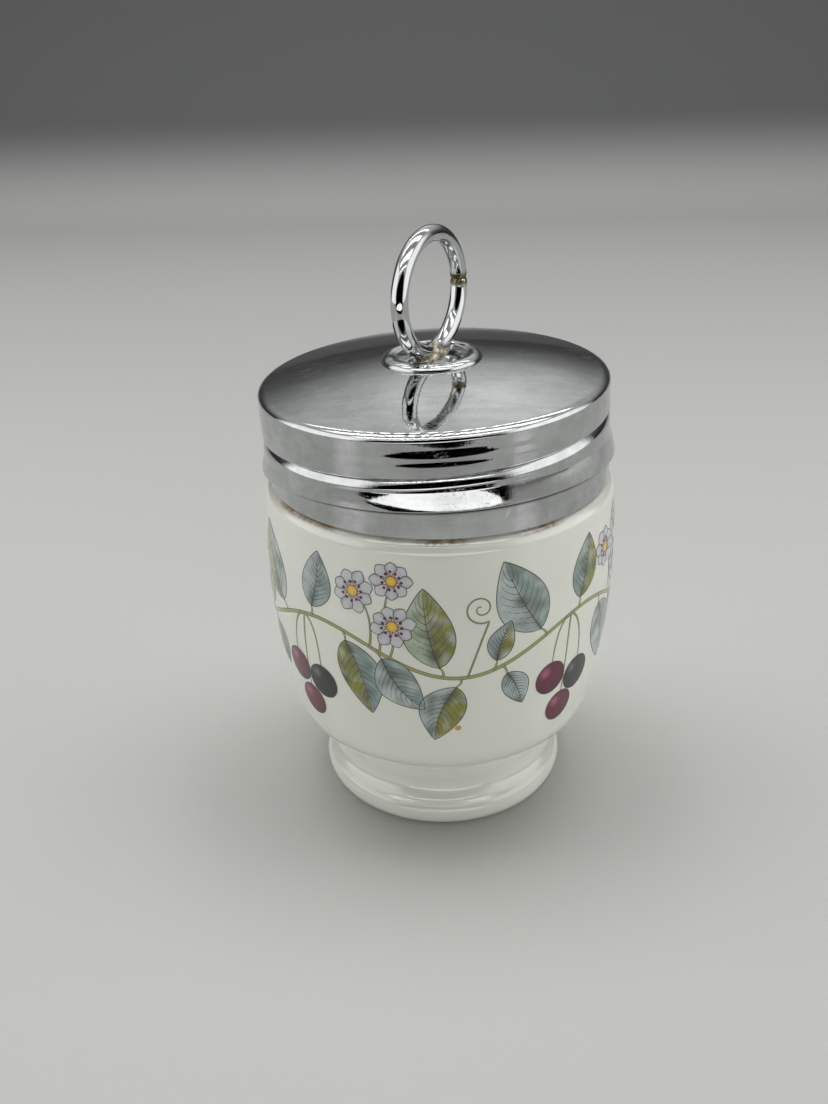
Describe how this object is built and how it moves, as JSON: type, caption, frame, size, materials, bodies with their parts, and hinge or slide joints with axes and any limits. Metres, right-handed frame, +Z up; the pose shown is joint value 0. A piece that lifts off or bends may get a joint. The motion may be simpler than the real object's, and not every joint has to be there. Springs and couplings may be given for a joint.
{
  "type": "porcelain egg coddler",
  "caption": "Footed porcelain egg cup with a moulded neck thread, closed by a pressed metal screw lid that carries an upright wire lifting ring.",
  "frame": {"origin": "centre of the foot's resting face, on the axis that cup, thread and lid share", "axes": "+Z up along the axis of the cup; the lifting ring stands in the XZ plane, so its hole runs along Y"},
  "size_m": [0.0738, 0.0738, 0.1226],
  "materials": {
    "glazed_porcelain": "gloss glaze, cream white",
    "seal_rubber": "matt, pale grey",
    "chromed_cap": "bright plate with light scuffs",
    "chromed_plate": "bright plate",
    "solder": "dull, uneven",
    "chromed_ring": "bright plate"
  },
  "bodies": {
    "cup": {"cup": "glazed_porcelain"},
    "seal": {"lid_seal": "seal_rubber"},
    "lid": {"lid_cap": "chromed_cap", "ring_plate": "chromed_plate", "ring_solder": "solder", "lifting_ring": "chromed_ring"}
  },
  "joints": [
    {"name": "lid_rise", "type": "slide", "parent": "cup", "child": "seal", "axis": [0, 0, 1], "range_m": [0, 0.018]},
    {"name": "lid_turn", "type": "hinge", "parent": "seal", "child": "lid", "pos_m": [0, 0, 0.0739], "axis": [0, 0, 1], "range_deg": [0, 1080]}
  ],
  "couplings": [
    {"joint": "lid_rise", "follows": "lid_turn", "m_per_rad": 0.00095493}
  ]
}
